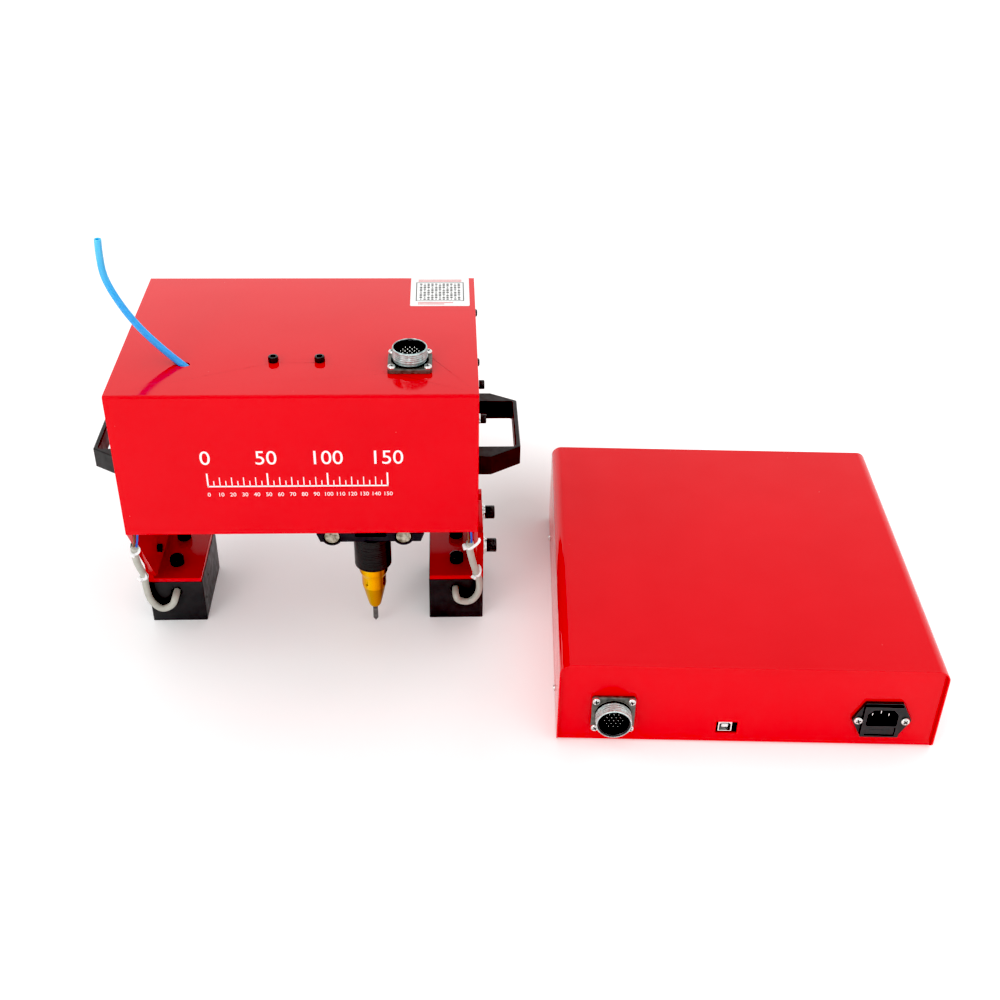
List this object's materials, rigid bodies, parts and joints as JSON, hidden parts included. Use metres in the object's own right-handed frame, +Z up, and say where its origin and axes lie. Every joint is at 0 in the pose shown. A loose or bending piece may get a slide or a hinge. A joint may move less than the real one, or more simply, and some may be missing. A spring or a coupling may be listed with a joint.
{
  "type": "nameplate marking machine",
  "caption": "Dot peen marking head on electromagnet feet with X and Y slides and an air stylus, and its separate flat controller box.",
  "frame": {"origin": "on the surface the set stands on, at the middle of the set of head and controller, leaving out the air tube", "axes": "+X from the head to the controller, +Y away from the side that faces the user, +Z up"},
  "size_m": [0.7476, 0.353, 0.3866],
  "materials": {
    "red_enamel_head": "glossy powder coat",
    "red_enamel_box": "glossy powder coat, fine orange peel",
    "red_enamel_frame": "satin powder coat",
    "black_magnet": "satin black enamel",
    "coil_potting": "cast resin, dull",
    "cable_grey": "soft vinyl sheath",
    "nylon_white": "moulded nylon",
    "black_oxide": "black oxide, oiled",
    "handle_black": "fine moulded texture",
    "zinc_plate": "bright zinc plate",
    "connector_metal": "die cast, tumbled",
    "insulator_black": "moulded",
    "pin_gilt": "plated contact",
    "rod_steel": "ground and polished",
    "screw_steel": "rolled thread",
    "motor_black": "satin with bare end bells",
    "bearing_alloy": "milled",
    "carriage_alloy": "milled",
    "bush_bronze": "sintered",
    "nut_brass": "turned",
    "holder_black": "black anodised",
    "barrel_black": "black anodised, turned",
    "nozzle_gold": "gold anodised, turned",
    "pin_carbide": "ground",
    "spring_steel": "drawn wire",
    "fitting_plastic": "push-in fitting",
    "valve_grey": "moulded",
    "tube_blue": "translucent polyurethane",
    "rubber_black": "moulded",
    "usb_metal": "tinned",
    "board_green": "solder mask",
    "supply_case": "pierced sheet",
    "fuse_black": "moulded",
    "switch_black": "moulded",
    "rocker_black": "moulded"
  },
  "bodies": {
    "head": {"head_cover": "red_enamel_head", "side_plate_left": "red_enamel_frame", "side_plate_right": "red_enamel_frame", "handle_left": "handle_black", "handle_right": "handle_black", "m5_cap_screws": "black_oxide", "m4_button_screws": "black_oxide", "clamp_bolts": "black_oxide", "bolt_washers": "zinc_plate", "head_connector_shell": "connector_metal", "head_connector_core": "insulator_black", "head_connector_pins": "pin_gilt", "head_connector_screws": "zinc_plate", "x_rods": "rod_steel", "x_motor": "motor_black", "x_end_bearing": "bearing_alloy", "solenoid_valve": "valve_grey", "valve_fittings": "fitting_plastic", "air_tube": "tube_blue"},
    "foot_left": {"magnet_body_left": "black_magnet", "magnet_coil_left": "coil_potting", "foot_bracket_left": "red_enamel_frame", "magnet_screws_left": "black_oxide", "magnet_cable_left": "cable_grey", "cable_ties_left": "nylon_white"},
    "foot_right": {"magnet_body_right": "black_magnet", "magnet_coil_right": "coil_potting", "foot_bracket_right": "red_enamel_frame", "magnet_screws_right": "black_oxide", "magnet_cable_right": "cable_grey", "cable_ties_right": "nylon_white"},
    "x_screw": {"x_lead_screw": "screw_steel"},
    "x_carriage": {"x_carriage": "carriage_alloy", "guide_bushes": "bush_bronze", "lead_nuts": "nut_brass"},
    "stylus_slide": {"stylus_holder": "holder_black", "y_rods": "rod_steel", "y_tie_plate": "bearing_alloy", "y_motor": "motor_black", "stylus_barrel": "barrel_black", "stylus_nozzle": "nozzle_gold", "return_spring": "spring_steel", "stylus_fitting": "fitting_plastic"},
    "y_screw": {"y_lead_screw": "screw_steel"},
    "pin": {"stylus_pin": "pin_carbide"},
    "controller": {"controller_cover": "red_enamel_box", "controller_tray": "red_enamel_box", "rubber_feet": "rubber_black", "controller_connector_shell": "connector_metal", "controller_connector_core": "insulator_black", "controller_connector_pins": "pin_gilt", "power_inlet": "insulator_black", "inlet_pins": "zinc_plate", "usb_socket": "usb_metal", "controller_screws": "zinc_plate", "circuit_board": "board_green", "power_supply": "supply_case", "switch_housing": "switch_black"},
    "fuse_drawer": {"fuse_drawer": "fuse_black"},
    "rocker": {"switch_rocker": "rocker_black"}
  },
  "joints": [
    {"name": "foot_left_height", "type": "slide", "parent": "head", "child": "foot_left", "axis": [0, 0, 1], "range_m": [-0.012, 0.002]},
    {"name": "foot_right_height", "type": "slide", "parent": "head", "child": "foot_right", "axis": [0, 0, 1], "range_m": [-0.012, 0.002]},
    {"name": "x_slide", "type": "slide", "parent": "head", "child": "x_carriage", "axis": [1, 0, 0], "range_m": [-0.128, 0.022]},
    {"name": "x_screw_spin", "type": "hinge", "parent": "head", "child": "x_screw", "pos_m": [-0.183, 0.0599, 0.212], "axis": [1, 0, 0], "continuous": true},
    {"name": "y_slide", "type": "slide", "parent": "x_carriage", "child": "stylus_slide", "axis": [0, 1, 0], "range_m": [-0.03, 0.03]},
    {"name": "y_screw_spin", "type": "hinge", "parent": "stylus_slide", "child": "y_screw", "pos_m": [-0.1305, 0.0664, 0.166], "axis": [0, 1, 0], "continuous": true},
    {"name": "pin_strike", "type": "slide", "parent": "stylus_slide", "child": "pin", "axis": [0, 0, -1], "range_m": [0, 0.004], "stiffness_N_per_m": 400, "springref_m": -0.01, "deforming": ["return_spring"]},
    {"name": "controller_place", "type": "slide", "parent": "head", "child": "controller", "axis": [1, 0, 0], "range_m": [0, 0.15]},
    {"name": "fuse_drawer_pull", "type": "slide", "parent": "controller", "child": "fuse_drawer", "axis": [-0.0476, -0.9989, 0], "range_m": [0, 0.018]},
    {"name": "power_switch_rock", "type": "hinge", "parent": "controller", "child": "rocker", "pos_m": [0.09747, 0.16784, 0.034], "axis": [0.9989, -0.0476, 0], "range_deg": [0, 14]}
  ],
  "couplings": [
    {"joint": "x_screw_spin", "follows": "x_slide", "rad_per_m": 785.4},
    {"joint": "y_screw_spin", "follows": "y_slide", "rad_per_m": 785.4}
  ]
}
